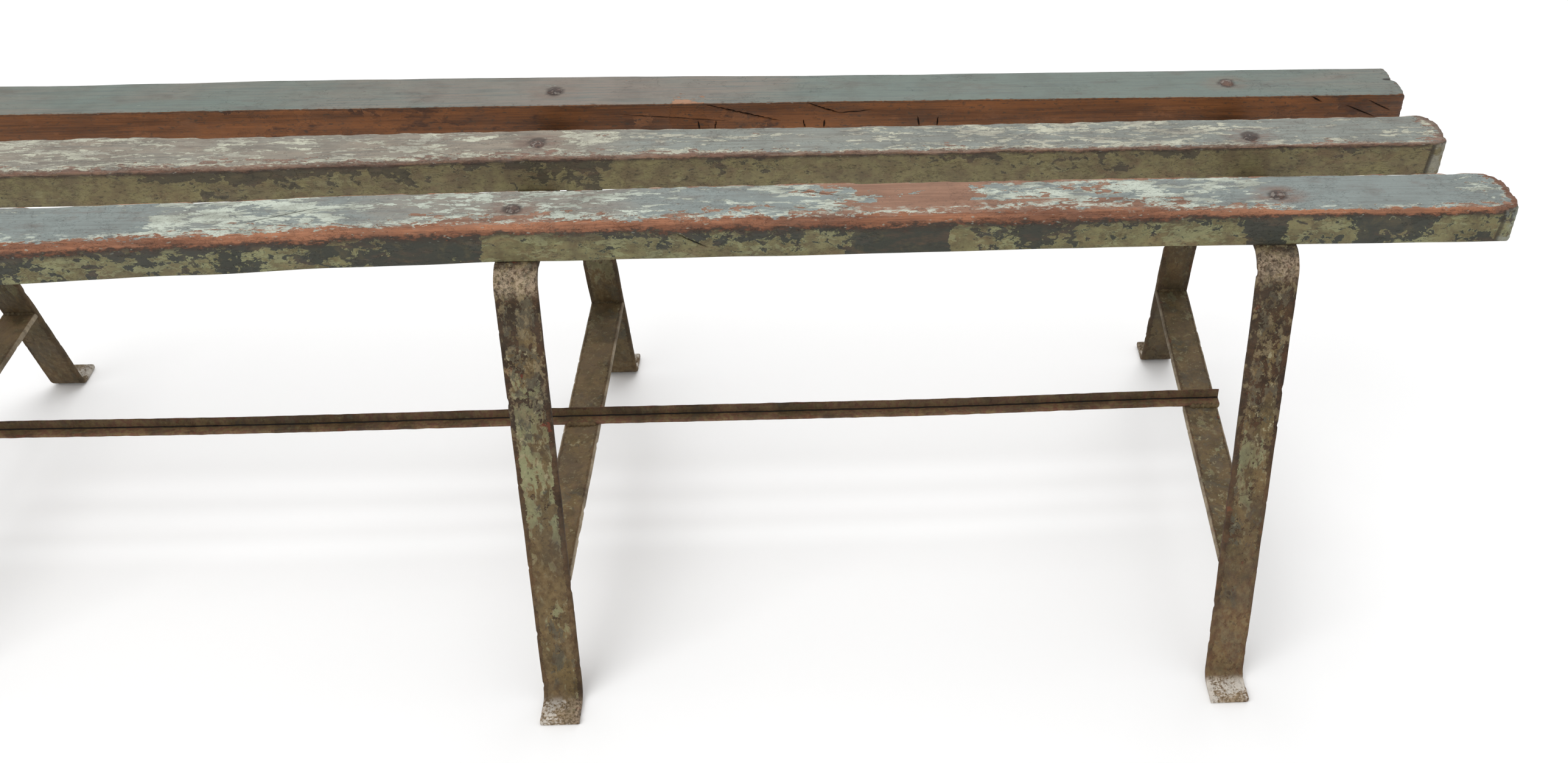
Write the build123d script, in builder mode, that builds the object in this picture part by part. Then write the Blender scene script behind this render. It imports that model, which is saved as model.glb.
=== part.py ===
"""Backless park bench: three timber slats bolted to three bent flat-iron frames.

Frame: X runs along the seat, the front is -Y, +Z is up. The origin is on the
floor at the middle of the bench. All sizes are millimetres.
"""

from build123d import *

import os
from math import atan, cos, radians, tan

# ------------------------------------------------------------------ overall
SEAT_HEIGHT = 440.0  # floor to the top of the slats
FRAME_SPACING = 620.0  # between the middles of neighbouring frames
SLAT_LENGTH = 1600.0

# -------------------------------------------------------------------- slats
SLAT_THICKNESS = 32.0
SLAT_WIDTH = {"front": 57.0, "middle": 48.0, "rear": 49.0}
SLAT_PLACE = {"front": -101.0, "middle": 1.0, "rear": 91.5}  # middle of each width, along Y
SLAT_SHIFT = {"front": 20.0, "middle": -8.0, "rear": -20.0}  # the slats are staggered along X
END_RADIUS = {"front": 22.0, "middle": 17.0, "rear": 6.0}  # back corner of each end
END_CHAMFER = {"front": 13.0, "middle": 10.0, "rear": 3.0}  # front corner of each end
FRONT_ARRIS = 4.0
BACK_ARRIS = 2.0

# ------------------------------------------------------------- bent flat iron
STRIP_WIDTH = 35.0
STRIP_THICKNESS = 6.0
RAIL_HALF_DEPTH = 143.0  # to the sharp corner of rail and leg, outer faces
HEEL_HALF_DEPTH = 239.0  # to the sharp corner of leg and foot, upper faces
FOOT_LENGTH = 28.0  # beyond that corner
TOP_BEND_RADIUS = 24.0  # outside of the bend
FOOT_BEND_RADIUS = 8.0  # inside of the bend

# --------------------------------------------------- crossbars and stretcher
CROSSBAR_TOP = 125.0  # floor to the upper face
STRETCHER_DEPTH = 13.0  # lying flange of the angle iron, along Y
STRETCHER_HEIGHT = 11.0  # standing flange
STRETCHER_WALL = 3.0
STRETCHER_BACK = 11.5  # standing flange's back face, along Y
STRETCHER_END_GAP = 2.5  # short of the outer edge of the last crossbars

# --------------------------------------------------------------- weld beads
BEAD_LEG = 3.5
BEAD_END_GAP = 2.5  # bead stops short of the strip's edges

# ------------------------------------------------- coach bolts and their nuts
BOLT_DIAMETER = 6.0
HEAD_DIAMETER = 14.0
HEAD_HEIGHT = 3.0
HEAD_SINK = 1.2  # the head is drawn into the timber
NECK_LENGTH = 4.0
WASHER_DIAMETER = 14.0
WASHER_THICKNESS = 1.5
NUT_ACROSS_FLATS = 10.0
NUT_HEIGHT = 5.0
THREAD_END = 3.0  # beyond the nut
THREAD_CHAMFER = 0.8
BOLT_PLACE = {"front": 0.0, "middle": -3.0, "rear": 0.0}  # off the slat's middle, along Y

# --------------------------------------------------------------- clearances
NECK_CLEARANCE = 0.1  # all round, square neck in the timber
SHANK_CLEARANCE = 0.25  # all round, shank in timber and iron
THREAD_CLEARANCE = 0.05  # all round, nut on the thread
HEAD_CLEARANCE = 0.2  # all round, head in its seat

# ------------------------------------------------------------ derived places
RAIL_TOP = SEAT_HEIGHT - SLAT_THICKNESS
SPLAY = atan((HEEL_HALF_DEPTH - RAIL_HALF_DEPTH) / (RAIL_TOP - STRIP_THICKNESS))
FOOT_HALF_DEPTH = HEEL_HALF_DEPTH + FOOT_LENGTH
CROSSBAR_BOTTOM = CROSSBAR_TOP - STRIP_THICKNESS
FRAMES = {"left": -FRAME_SPACING, "middle": 0.0, "right": FRAME_SPACING}
SLATS = ("front", "middle", "rear")
HEAD_SEAT = SEAT_HEIGHT - HEAD_SINK
WASHER_TOP = RAIL_TOP - STRIP_THICKNESS
NUT_TOP = WASHER_TOP - WASHER_THICKNESS
BOLT_TIP = NUT_TOP - NUT_HEIGHT - THREAD_END


def leg_inner_face(z):
    """Half depth of the legs' inner faces at height z, on the straight stretch."""
    outer = RAIL_HALF_DEPTH + (RAIL_TOP - z) * tan(SPLAY)
    wall = STRIP_THICKNESS * (1 + tan(SPLAY) ** 2) ** 0.5
    return outer - wall


def bolt_y(slat):
    """Where the bolts of one slat stand, along Y."""
    return SLAT_PLACE[slat] + BOLT_PLACE[slat]


def save(part, name):
    part.label = name
    export_step(part, f"parts/{name}.step")


def make_slat(slat):
    """One board, its four corners eased in plan and its top arrises rounded."""
    middle = SLAT_SHIFT[slat]
    width = SLAT_WIDTH[slat]
    with BuildPart() as board:
        with BuildSketch(Plane.YZ.offset(middle - SLAT_LENGTH / 2)):
            with Locations((SLAT_PLACE[slat], RAIL_TOP + SLAT_THICKNESS / 2)):
                Rectangle(width, SLAT_THICKNESS)
            top_corners = vertices().group_by(Axis.Y)[-1].sort_by(Axis.X)
            fillet(top_corners[0], radius=FRONT_ARRIS)
            top_corners = vertices().group_by(Axis.Y)[-1].sort_by(Axis.X)
            fillet(top_corners[-1], radius=BACK_ARRIS)
        extrude(amount=SLAT_LENGTH)
        with BuildSketch(Plane.XY.offset(RAIL_TOP)):
            with Locations((middle, SLAT_PLACE[slat])):
                Rectangle(SLAT_LENGTH, width)
            fillet(vertices().group_by(Axis.Y)[-1], radius=END_RADIUS[slat])
            chamfer(vertices().group_by(Axis.Y)[0], length=END_CHAMFER[slat])
        extrude(amount=SLAT_THICKNESS, mode=Mode.INTERSECT)
        with BuildSketch(Plane.XY.offset(SEAT_HEIGHT)):
            with Locations(*[(x, bolt_y(slat)) for x in FRAMES.values()]):
                Circle(HEAD_DIAMETER / 2 + HEAD_CLEARANCE)
        extrude(amount=-HEAD_SINK, mode=Mode.SUBTRACT)
        with BuildSketch(Plane.XY.offset(HEAD_SEAT)):
            with Locations(*[(x, bolt_y(slat)) for x in FRAMES.values()]):
                Rectangle(BOLT_DIAMETER + 2 * NECK_CLEARANCE, BOLT_DIAMETER + 2 * NECK_CLEARANCE)
        extrude(amount=-NECK_LENGTH, mode=Mode.SUBTRACT)
        with BuildSketch(Plane.XY.offset(HEAD_SEAT)):
            with Locations(*[(x, bolt_y(slat)) for x in FRAMES.values()]):
                Circle(BOLT_DIAMETER / 2 + SHANK_CLEARANCE)
        extrude(amount=RAIL_TOP - HEAD_SEAT, mode=Mode.SUBTRACT)
    return board.part


def make_leg_frame(x):
    """One flat iron strip: foot, splayed leg, seat rail, splayed leg, foot."""
    with BuildPart() as frame:
        with BuildSketch(Plane.YZ.offset(x - STRIP_WIDTH / 2)):
            with BuildLine():
                FilletPolyline(
                    (-FOOT_HALF_DEPTH, STRIP_THICKNESS),
                    (-HEEL_HALF_DEPTH, STRIP_THICKNESS),
                    (-RAIL_HALF_DEPTH, RAIL_TOP),
                    (RAIL_HALF_DEPTH, RAIL_TOP),
                    (HEEL_HALF_DEPTH, STRIP_THICKNESS),
                    (FOOT_HALF_DEPTH, STRIP_THICKNESS),
                    radius=[FOOT_BEND_RADIUS, TOP_BEND_RADIUS, TOP_BEND_RADIUS, FOOT_BEND_RADIUS],
                )
                offset(amount=STRIP_THICKNESS, side=Side.RIGHT)
            make_face()
        extrude(amount=STRIP_WIDTH)
        with BuildSketch(Plane.XY.offset(RAIL_TOP)):
            with Locations(*[(x, bolt_y(slat)) for slat in SLATS]):
                Circle(BOLT_DIAMETER / 2 + SHANK_CLEARANCE)
        extrude(amount=-STRIP_THICKNESS, mode=Mode.SUBTRACT)
    return frame.part


def make_crossbar(x):
    """Flat strip between the two legs, its ends cut to their splay."""
    upper = leg_inner_face(CROSSBAR_TOP)
    lower = leg_inner_face(CROSSBAR_BOTTOM)
    with BuildPart() as bar:
        with BuildSketch(Plane.YZ.offset(x - STRIP_WIDTH / 2)):
            with BuildLine():
                Polyline(
                    (-upper, CROSSBAR_TOP),
                    (upper, CROSSBAR_TOP),
                    (lower, CROSSBAR_BOTTOM),
                    (-lower, CROSSBAR_BOTTOM),
                    close=True,
                )
            make_face()
        extrude(amount=STRIP_WIDTH)
    return bar.part


def make_stretcher():
    """Small angle iron along the bench, lying on the three crossbars."""
    half_length = FRAME_SPACING + STRIP_WIDTH / 2 - STRETCHER_END_GAP
    with BuildPart() as angle:
        with BuildSketch(Plane.YZ.offset(-half_length)):
            with BuildLine():
                Polyline(
                    (STRETCHER_BACK - STRETCHER_DEPTH, CROSSBAR_TOP),
                    (STRETCHER_BACK, CROSSBAR_TOP),
                    (STRETCHER_BACK, CROSSBAR_TOP + STRETCHER_HEIGHT),
                    (STRETCHER_BACK - STRETCHER_WALL, CROSSBAR_TOP + STRETCHER_HEIGHT),
                    (STRETCHER_BACK - STRETCHER_WALL, CROSSBAR_TOP + STRETCHER_WALL),
                    (STRETCHER_BACK - STRETCHER_DEPTH, CROSSBAR_TOP + STRETCHER_WALL),
                    close=True,
                )
            make_face()
        extrude(amount=2 * half_length)
    return angle.part


def make_welds(x):
    """Beads that hold one crossbar to its legs and the stretcher to the crossbar."""
    length = STRIP_WIDTH - 2 * BEAD_END_GAP
    start = x - length / 2
    slope = tan(SPLAY)
    above = leg_inner_face(CROSSBAR_TOP)
    below = leg_inner_face(CROSSBAR_BOTTOM)
    edge = STRETCHER_BACK - STRETCHER_DEPTH
    with BuildPart() as beads:
        with BuildSketch(Plane.YZ.offset(start)):
            for side in (-1, 1):
                with BuildLine():
                    Polyline(
                        (side * above, CROSSBAR_TOP),
                        (side * (above - BEAD_LEG), CROSSBAR_TOP),
                        (side * (above - BEAD_LEG * slope), CROSSBAR_TOP + BEAD_LEG),
                        close=True,
                    )
                make_face()
                with BuildLine():
                    Polyline(
                        (side * below, CROSSBAR_BOTTOM),
                        (side * (below - BEAD_LEG), CROSSBAR_BOTTOM),
                        (side * (below + BEAD_LEG * slope), CROSSBAR_BOTTOM - BEAD_LEG),
                        close=True,
                    )
                make_face()
            with BuildLine():
                Polyline(
                    (edge, CROSSBAR_TOP),
                    (edge, CROSSBAR_TOP + STRETCHER_WALL),
                    (edge - BEAD_LEG, CROSSBAR_TOP),
                    close=True,
                )
            make_face()
        extrude(amount=length)
    return beads.part


def make_coach_bolt(x, y):
    """Domed head, square neck and shank, from the slat's top down through its nut."""
    head_radius = HEAD_DIAMETER / 2
    dome_radius = (head_radius**2 + HEAD_HEIGHT**2) / (2 * HEAD_HEIGHT)
    axis_plane = Plane(origin=(x, y, HEAD_SEAT), x_dir=(1, 0, 0), z_dir=(0, -1, 0))
    with BuildPart() as bolt:
        with BuildSketch(axis_plane):
            with BuildLine():
                Line((0, 0), (head_radius, 0))
                RadiusArc((head_radius, 0), (0, HEAD_HEIGHT), -dome_radius)
                Line((0, HEAD_HEIGHT), (0, 0))
            make_face()
        revolve(axis=Axis((x, y, HEAD_SEAT), (0, 0, 1)))
        with BuildSketch(Plane.XY.offset(HEAD_SEAT)):
            with Locations((x, y)):
                Rectangle(BOLT_DIAMETER, BOLT_DIAMETER)
        extrude(amount=-NECK_LENGTH)
        with BuildSketch(Plane.XY.offset(BOLT_TIP)):
            with Locations((x, y)):
                Circle(BOLT_DIAMETER / 2)
        extrude(amount=HEAD_SEAT - BOLT_TIP)
        tip = bolt.edges().filter_by(GeomType.CIRCLE).sort_by(Axis.Z)[0]
        chamfer(tip, length=THREAD_CHAMFER)
    return bolt.part


def make_washer(x, y):
    with BuildPart() as washer:
        with BuildSketch(Plane.XY.offset(WASHER_TOP)):
            with Locations((x, y)):
                Circle(WASHER_DIAMETER / 2)
                Circle(BOLT_DIAMETER / 2 + SHANK_CLEARANCE, mode=Mode.SUBTRACT)
        extrude(amount=-WASHER_THICKNESS)
    return washer.part


def make_nut(x, y):
    """Plain hexagon nut with a clearance bore."""
    across_corners = NUT_ACROSS_FLATS / cos(radians(30))
    with BuildPart() as nut:
        with BuildSketch(Plane.XY.offset(NUT_TOP)):
            with Locations((x, y)):
                RegularPolygon(across_corners / 2, 6)
        extrude(amount=-NUT_HEIGHT)
        with BuildSketch(Plane.XY.offset(NUT_TOP)):
            with Locations((x, y)):
                Circle(BOLT_DIAMETER / 2 + THREAD_CLEARANCE)
        extrude(amount=-NUT_HEIGHT, mode=Mode.SUBTRACT)
    return nut.part


os.makedirs("parts", exist_ok=True)

for slat in SLATS:
    save(make_slat(slat), f"slat_{slat}")

for side, x in FRAMES.items():
    save(make_leg_frame(x), f"leg_frame_{side}")
    save(make_crossbar(x), f"crossbar_{side}")
    save(make_welds(x), f"weld_beads_{side}")
    for slat in SLATS:
        save(make_coach_bolt(x, bolt_y(slat)), f"coach_bolt_{side}_{slat}")
        save(make_washer(x, bolt_y(slat)), f"washer_{side}_{slat}")
        save(make_nut(x, bolt_y(slat)), f"nut_{side}_{slat}")

save(make_stretcher(), "stretcher")
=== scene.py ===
from bisect import bisect_right
from math import atan, cos, exp, pi, radians, sin, sqrt, tan

import bmesh
import bpy
from mathutils import Matrix, Vector, noise


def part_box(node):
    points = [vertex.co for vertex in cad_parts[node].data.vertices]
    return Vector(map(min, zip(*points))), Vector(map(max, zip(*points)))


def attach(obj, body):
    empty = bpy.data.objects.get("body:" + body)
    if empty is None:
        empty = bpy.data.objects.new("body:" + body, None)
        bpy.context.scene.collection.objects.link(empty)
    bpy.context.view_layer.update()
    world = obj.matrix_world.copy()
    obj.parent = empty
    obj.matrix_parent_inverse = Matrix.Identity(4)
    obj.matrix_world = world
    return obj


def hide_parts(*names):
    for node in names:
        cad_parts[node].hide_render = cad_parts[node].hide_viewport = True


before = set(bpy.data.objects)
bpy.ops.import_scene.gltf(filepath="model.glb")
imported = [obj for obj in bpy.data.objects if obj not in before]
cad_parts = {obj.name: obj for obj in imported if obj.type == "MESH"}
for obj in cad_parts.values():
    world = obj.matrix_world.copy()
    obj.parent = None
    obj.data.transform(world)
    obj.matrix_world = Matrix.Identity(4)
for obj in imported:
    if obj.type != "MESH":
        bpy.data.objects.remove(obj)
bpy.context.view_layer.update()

# An old park bench: three painted boards on three bent flat irons.
# Metres throughout. X runs along the seat, the front is -Y, +Z is up.

BODY = "root"
SHARP = radians(34)
SIDES = ("left", "middle", "right")
SLATS = ("front", "middle", "rear")

# ---------------------------------------------------------------- leg irons
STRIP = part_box("leg_frame_middle")[1].x * 2
IRON = 0.006
RAIL_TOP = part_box("leg_frame_middle")[1].z
FOOT_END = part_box("leg_frame_middle")[1].y
RAIL_CORNER = 0.143
HEEL_CORNER = 0.239
TOP_BEND = 0.024
FOOT_BEND = 0.008
EDGE_ROUND = 0.0016
LEG_CELLS, CROSSBAR_CELLS = (560, 18, 4), (200, 18, 4)
SPLAY = atan((HEEL_CORNER - RAIL_CORNER) / (RAIL_TOP - IRON))
FRAME_X = {side: sum(v.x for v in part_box(f"leg_frame_{side}")) / 2 for side in SIDES}

# How far each leg has been knocked out of true along X, at its foot and its top.
LEAN = {
    "left": {"front": (-0.001, 0.0), "back": (-0.002, 0.001)},
    "middle": {"front": (-0.0025, 0.0), "back": (0.0015, 0.0045)},
    "right": {"front": (-0.0137, 0.0), "back": (0.0013, 0.0)},
}
# How far each foot has been pushed along Y.
SPREAD = {"left": (0.0, 0.0), "middle": (-0.0025, -0.003), "right": (-0.0025, -0.002)}

# ------------------------------------------------------------ warp of boards
# (place along X, push of the front edge, push of the back edge) of each board's own bow, along Y.
BOW = {
    "front": ((-0.80, -0.012, -0.010), (-0.62, -0.015, -0.012), (-0.41, -0.0180, -0.0120),
              (-0.25, -0.0100, -0.0086), (-0.12, -0.0030, -0.0022), (0.0, 0.000, -0.0006),
              (0.20, 0.001, 0.0034), (0.50, 0.004, 0.0028), (0.80, 0.002, 0.0020)),
    "middle": ((-0.80, -0.012, -0.003), (-0.45, -0.0125, -0.0020), (-0.35, -0.0115, 0.0),
               (-0.26, -0.009, -0.0035), (-0.14, -0.0045, -0.0010), (0.0, 0.0, 0.0005),
               (0.20, 0.001, -0.0015), (0.60, 0.001, 0.0010), (0.80, 0.001, 0.002)),
    "rear": ((-0.80, -0.002, 0.001), (-0.45, 0.000, 0.003), (-0.20, 0.002, 0.0070), (0.0, 0.002, 0.0065),
             (0.30, 0.0015, 0.0020), (0.80, -0.001, 0.001)),
}
BOLT_SLIP = {  # each bolt's own place off the nominal one, (X, Y)
    ("middle", "front"): (-0.002, 0.001), ("middle", "middle"): (0.003, 0.003),
    ("middle", "rear"): (0.005, -0.001), ("right", "front"): (0.002, -0.002),
    ("right", "middle"): (-0.001, -0.006), ("right", "rear"): (-0.002, 0.0),
}
STRETCHER_BOW = ((-0.62, 0.0015), (-0.31, -0.001), (0.0, 0.001), (0.31, 0.001), (0.62, 0.006))


# ================================================================ small maths
def along(points, x):
    """Smooth value at x through (place, value) points."""
    places = [p for p, _ in points]
    i = min(max(bisect_right(places, x) - 1, 0), len(points) - 2)
    (x0, y0), (x1, y1) = points[i], points[i + 1]
    t = min(max((x - x0) / (x1 - x0), 0.0), 1.0)
    return y0 + (y1 - y0) * t * t * (3 - 2 * t)


def bowed(which, x, forward=0.5):
    """How far a board is bowed along Y at x, from its back edge (0) to its front edge (1)."""
    front = along([(row[0], row[1]) for row in BOW[which]], x)
    back = along([(row[0], row[2]) for row in BOW[which]], x)
    return back + (front - back) * forward


def step(low, high, x):
    """0 below low, 1 above high, smooth between."""
    t = min(max((x - low) / (high - low), 0.0), 1.0)
    return t * t * (3 - 2 * t)


def lumps(x, y, z, size, seed=0.0):
    """Smooth noise from -1 to 1 with lumps of about that size."""
    return noise.noise(Vector((x / size + seed, y / size, z / size)))


def ease(a, b, ra, rb, power=2.0):
    """Rounds a corner: a and b are depths from two faces, ra and rb how far it reaches."""
    u, v = 1 - a / ra, 1 - b / rb
    if u <= 0 or v <= 0:
        return a, b
    squeeze = max(u, v) / (u**power + v**power) ** (1 / power)
    return ra * (1 - u * squeeze), rb * (1 - v * squeeze)


# ================================================================ mesh tools
def board(length, width, thickness, cuts):
    """A closed box of even cells, centred on X and Y, standing on Z = 0."""
    bm = bmesh.new()
    bmesh.ops.create_grid(bm, x_segments=cuts[0], y_segments=cuts[1], size=0.5)
    bmesh.ops.scale(bm, vec=(length, width, 1.0), verts=bm.verts)
    raised = bmesh.ops.extrude_face_region(bm, geom=bm.faces[:])
    lifted = [v for v in raised["geom"] if isinstance(v, bmesh.types.BMVert)]
    bmesh.ops.translate(bm, vec=(0, 0, thickness), verts=lifted)
    uprights = [e for e in bm.edges if abs(e.verts[0].co.z - e.verts[1].co.z) > thickness / 2]
    bmesh.ops.subdivide_edges(bm, edges=uprights, cuts=cuts[2] - 1)
    return bm


def crowd(v, half, pull):
    """Draws the rows of a board from its middle towards its edges."""
    u = v / half
    return half * u * (1 + pull * (1 - u * u))


def piece(bm, name, material, slot, *nodes):
    """Turns a bmesh into a piece of the bench that stands for those nodes."""
    bmesh.ops.recalc_face_normals(bm, faces=bm.faces)
    if bm.calc_volume(signed=True) < 0:
        bmesh.ops.reverse_faces(bm, faces=bm.faces)
    mesh = bpy.data.meshes.new(name)
    for face in bm.faces:
        face.smooth = True
    for rim in bm.edges:
        rim.smooth = rim.calc_face_angle(0.0) < SHARP
    bm.to_mesh(mesh)
    bm.free()
    mesh.materials.append(material)
    made = bpy.data.objects.new(name, mesh)
    bpy.context.collection.objects.link(made)
    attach(made, BODY)
    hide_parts(*nodes)
    return made


# ============================================================ shader shorthand
class Wiring:
    """Adds nodes to one tree. An input may be a value or another node's output."""

    def __init__(self, tree):
        self.tree = tree

    def join(self, source, socket):
        self.tree.links.new(source, socket)

    def add(self, kind, inputs=(), **settings):
        node = self.tree.nodes.new(kind)
        for key, value in settings.items():
            setattr(node, key, value)
        for key, value in dict(inputs).items():
            if isinstance(value, bpy.types.NodeSocket):
                self.join(value, node.inputs[key])
            else:
                node.inputs[key].default_value = value
        return node

    def maths(self, operation, a, b=0.0, c=0.0):
        return self.add("ShaderNodeMath", {0: a, 1: b, 2: c}, operation=operation).outputs[0]

    def times(self, a, b):
        return self.maths("MULTIPLY", a, b)

    def plus(self, a, b):
        return self.maths("ADD", a, b)

    def minus(self, a, b):
        return self.maths("SUBTRACT", a, b)

    def ramp(self, value, low, high, bottom=0.0, top=1.0):
        """Smooth step of value between low and high."""
        inputs = {"Value": value, "From Min": low, "From Max": high, "To Min": bottom, "To Max": top}
        made = self.add("ShaderNodeMapRange", inputs, interpolation_type="SMOOTHSTEP")
        return made.outputs["Result"]

    def mix(self, amount, a, b, blend="MIX"):
        inputs = {0: amount, 6: colour(a), 7: colour(b)}
        return self.add("ShaderNodeMix", inputs, data_type="RGBA", blend_type=blend).outputs[2]

    def stretch(self, vector, scale, turn=(0, 0, 0), shift=(0, 0, 0)):
        inputs = {"Vector": vector, "Scale": scale, "Rotation": turn, "Location": shift}
        return self.add("ShaderNodeMapping", inputs).outputs[0]

    def noise(self, vector, scale, detail=3.0, roughness=0.55, distortion=0.0):
        inputs = {"Vector": vector, "Scale": scale, "Detail": detail,
                  "Roughness": roughness, "Distortion": distortion}
        return self.add("ShaderNodeTexNoise", inputs).outputs[0]

    def grain(self, vector, lengthwise, across, detail, roughness=0.55, distortion=0.0):
        """Noise drawn out along X: so many lumps to a metre along it and across it."""
        drawn_out = self.stretch(vector, (lengthwise, across, across))
        return self.noise(drawn_out, 1.0, detail, roughness, distortion)

    def attribute(self, name):
        return self.add("ShaderNodeAttribute", attribute_name=name).outputs["Fac"]


def colour(value):
    """A colour socket's value: red, green and blue get an opaque alpha."""
    return (*value, 1.0) if isinstance(value, tuple) and len(value) == 3 else value


def effect(name, inputs, outputs):
    """A new node group with named sockets, and the wiring to fill it."""
    kinds = {"f": "NodeSocketFloat", "v": "NodeSocketVector", "c": "NodeSocketColor"}
    tree = bpy.data.node_groups.new(name, "ShaderNodeTree")
    for key, kind, default in inputs:
        socket = tree.interface.new_socket(key, in_out="INPUT", socket_type=kinds[kind])
        if default is not None:
            socket.default_value = colour(default)
    for key, kind in outputs:
        tree.interface.new_socket(key, in_out="OUTPUT", socket_type=kinds[kind])
    w = Wiring(tree)
    return w, w.add("NodeGroupInput").outputs, w.add("NodeGroupOutput").inputs


def use(w, group, inputs):
    """Places a node group in a material with its own values, and gives its outputs."""
    node = w.add("ShaderNodeGroup", (), node_tree=bpy.data.node_groups[group])
    for key, value in inputs.items():
        if isinstance(value, bpy.types.NodeSocket):
            w.join(value, node.inputs[key])
        else:
            node.inputs[key].default_value = colour(value)
    return node.outputs


# ============================================================= shared effects
def make_flaking():
    """Old paint come away in scales: what is bare, the thin rim round it and the older coat showing."""
    w, given, gives = effect(
        "flaking",
        [("Vector", "v", None), ("Scale", "f", 60.0), ("Bare", "f", 0.3), ("Pale", "f", 0.3),
         ("Rim", "f", 0.02), ("Crisp", "f", 0.008)],
        [("Bare", "f"), ("Rim", "f"), ("Pale", "f"), ("Height", "f")],
    )
    small = w.times(given["Scale"], 3.3)
    elsewhere = w.stretch(given["Vector"], (0.9, 1.3, 1.3), shift=(7.1, 3.3, 5.2))

    def both(vector):
        broad = w.times(w.noise(vector, given["Scale"], 4.0, 0.62, 0.3), 0.52)
        return w.maths("MULTIPLY_ADD", w.noise(vector, small, 5.0, 0.66, 0.5), 0.48, broad)

    field = both(given["Vector"])
    other = both(elsewhere)
    # Noise gathers round 0.5, so shares from 0 to 1 are spread over its real range.
    over = w.minus(w.ramp(given["Bare"], 0.0, 1.0, 0.335, 0.69), field)
    bare = w.ramp(over, 0.0, given["Crisp"])
    rim = w.ramp(w.plus(over, given["Rim"]), 0.0, given["Crisp"])
    pale = w.ramp(w.minus(w.ramp(given["Pale"], 0.0, 1.0, 0.335, 0.69), other), 0.0, given["Crisp"])
    w.join(bare, gives["Bare"])
    w.join(w.minus(rim, bare), gives["Rim"])
    w.join(pale, gives["Pale"])
    thick = w.minus(1.0, w.times(pale, 0.35))
    w.join(w.times(thick, w.minus(1.0, bare)), gives["Height"])


def make_wood():
    """Bare weathered timber, its grain along X."""
    w, given, gives = effect(
        "bare_wood",
        [("Vector", "v", None), ("Light", "c", (0.4, 0.2, 0.1)), ("Dark", "c", (0.15, 0.07, 0.04))],
        [("Color", "c"), ("Height", "f")],
    )
    fibre = w.grain(given["Vector"], 14, 700, 5.0, 0.65, 0.3)
    bands = w.grain(given["Vector"], 5, 90, 4.0, 0.6, 0.8)
    stain = w.grain(given["Vector"], 9, 30, 4.0, 0.6)
    tone = w.plus(w.times(fibre, 0.45), w.times(bands, 0.55))
    tone = w.plus(w.times(tone, 0.7), w.times(stain, 0.3))
    w.join(w.mix(w.ramp(tone, 0.36, 0.64), given["Dark"], given["Light"]), gives["Color"])
    w.join(fibre, gives["Height"])


def make_grime():
    """Dirt in blotches and specks over a colour."""
    w, given, gives = effect(
        "grime",
        [("Vector", "v", None), ("Color", "c", (0.5, 0.5, 0.5)), ("Dirt", "c", (0.06, 0.05, 0.04)),
         ("Blotches", "f", 0.3), ("Specks", "f", 0.3)],
        [("Color", "c"), ("Mask", "f")],
    )
    broad = w.noise(given["Vector"], 26.0, 6.0, 0.7, 0.2)
    specks = w.noise(given["Vector"], 520.0, 2.0, 0.5)
    blotch = w.times(w.ramp(broad, 0.42, 0.70), given["Blotches"])
    speck = w.times(w.ramp(specks, 0.62, 0.72), given["Specks"])
    mask = w.maths("MAXIMUM", blotch, speck)
    w.join(w.mix(mask, given["Color"], given["Dirt"]), gives["Color"])
    w.join(mask, gives["Mask"])


def make_rust():
    """Rusted iron, from dark scale to brighter bloom."""
    w, given, gives = effect(
        "rust",
        [("Vector", "v", None), ("Scale", "c", (0.035, 0.024, 0.018)), ("Bloom", "c", (0.16, 0.07, 0.03))],
        [("Color", "c"), ("Height", "f")],
    )
    broad = w.noise(given["Vector"], 60.0, 6.0, 0.65, 0.3)
    fine = w.noise(given["Vector"], 420.0, 4.0, 0.7)
    tone = w.plus(w.times(broad, 0.6), w.times(fine, 0.4))
    w.join(w.mix(w.ramp(tone, 0.42, 0.62), given["Scale"], given["Bloom"]), gives["Color"])
    w.join(fine, gives["Height"])


make_flaking()
make_wood()
make_grime()
make_rust()


# ================================================================= materials
def new_material(name):
    """An empty surface: its wiring, its shader and the place of each point on the piece."""
    material = bpy.data.materials.new(name)
    material.use_nodes = True
    tree = material.node_tree
    tree.nodes.clear()
    w = Wiring(tree)
    output = w.add("ShaderNodeOutputMaterial")
    shader = w.add("ShaderNodeBsdfPrincipled")
    w.join(shader.outputs[0], output.inputs[0])
    place = w.add("ShaderNodeTexCoord").outputs["Object"]
    return material, w, shader, place


def finish_surface(w, shader, base, rough, height, bump_depth):
    """Joins a colour, a roughness and a relief to the shader."""
    w.join(base, shader.inputs["Base Color"])
    w.join(rough, shader.inputs["Roughness"])
    bump = w.add("ShaderNodeBump", {"Height": height, "Strength": 1.0, "Distance": bump_depth})
    w.join(bump.outputs[0], shader.inputs["Normal"])


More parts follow.
